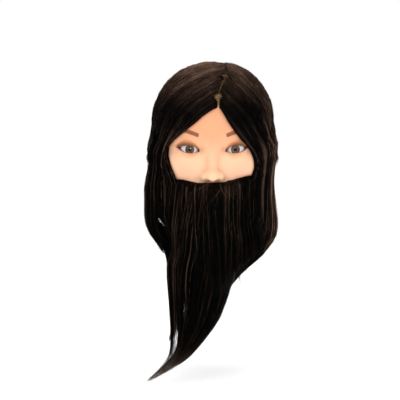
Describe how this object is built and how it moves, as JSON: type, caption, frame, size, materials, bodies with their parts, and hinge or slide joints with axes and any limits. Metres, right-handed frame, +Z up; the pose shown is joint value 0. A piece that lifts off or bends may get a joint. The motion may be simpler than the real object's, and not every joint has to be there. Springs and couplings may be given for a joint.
{
  "type": "mannequin training head",
  "caption": "Hairdressing practice head with a soft face, long parted hair, rooted beard and a clamp socket in the neck.",
  "frame": {"origin": "on the flat neck foot, 20 mm in front of the clamp socket's axis, on the head's left-right middle plane", "axes": "+Z up, the face looks along -Y, +X is to the viewer's right of a viewer who faces the face"},
  "size_m": [0.18, 0.2265, 0.434],
  "materials": {
    "face_vinyl": "soft satin skin-coloured vinyl with painted brows",
    "scalp_vinyl": "matte tan rooted vinyl",
    "foam": "rigid polyurethane foam",
    "base_plastic": "moulded black plastic",
    "eye_white": "polished acrylic",
    "iris": "printed brown iris with a black pupil",
    "eye_clear": "clear acrylic dome",
    "hair": "glossy near-black hair fibre with brown lights"
  },
  "bodies": {
    "head": {"face_skin": "face_vinyl", "scalp_cap": "scalp_vinyl", "foam_core": "foam", "neck_plug": "base_plastic", "clamp_socket": "base_plastic", "left_eye_white": "eye_white", "left_iris": "iris", "left_eye_dome": "eye_clear", "right_eye_white": "eye_white", "right_iris": "iris", "right_eye_dome": "eye_clear", "crown_hair_left": "hair", "crown_hair_right": "hair", "nape_hair": "hair", "moustache": "hair", "cheek_beard_left": "hair", "cheek_beard_right": "hair", "chin_beard": "hair"},
    "beard_fall": {"beard_fall": "hair"},
    "long_hair": {"long_hair_fall": "hair"},
    "left_lock": {"side_lock_left": "hair"},
    "right_lock": {"side_lock_right": "hair"}
  },
  "joints": [
    {"name": "beard_lift", "type": "hinge", "parent": "head", "child": "beard_fall", "pos_m": [0, -0.106, 0.06], "axis": [-1, 0, 0], "range_deg": [0, 60], "stiffness_Nm_per_rad": 0.05, "springref_deg": -28.65},
    {"name": "long_hair_lift", "type": "hinge", "parent": "head", "child": "long_hair", "pos_m": [0, 0.106, 0.067], "axis": [1, 0, 0], "range_deg": [0, 50], "stiffness_Nm_per_rad": 0.06, "springref_deg": -28.65},
    {"name": "left_lock_swing", "type": "hinge", "parent": "head", "child": "left_lock", "pos_m": [-0.088, 0, 0.1496], "axis": [0, 1, 0], "range_deg": [0, 25], "stiffness_Nm_per_rad": 0.02, "springref_deg": -28.65},
    {"name": "right_lock_swing", "type": "hinge", "parent": "head", "child": "right_lock", "pos_m": [0.086, 0, 0.1496], "axis": [0, -1, 0], "range_deg": [0, 25], "stiffness_Nm_per_rad": 0.02, "springref_deg": -28.65}
  ]
}
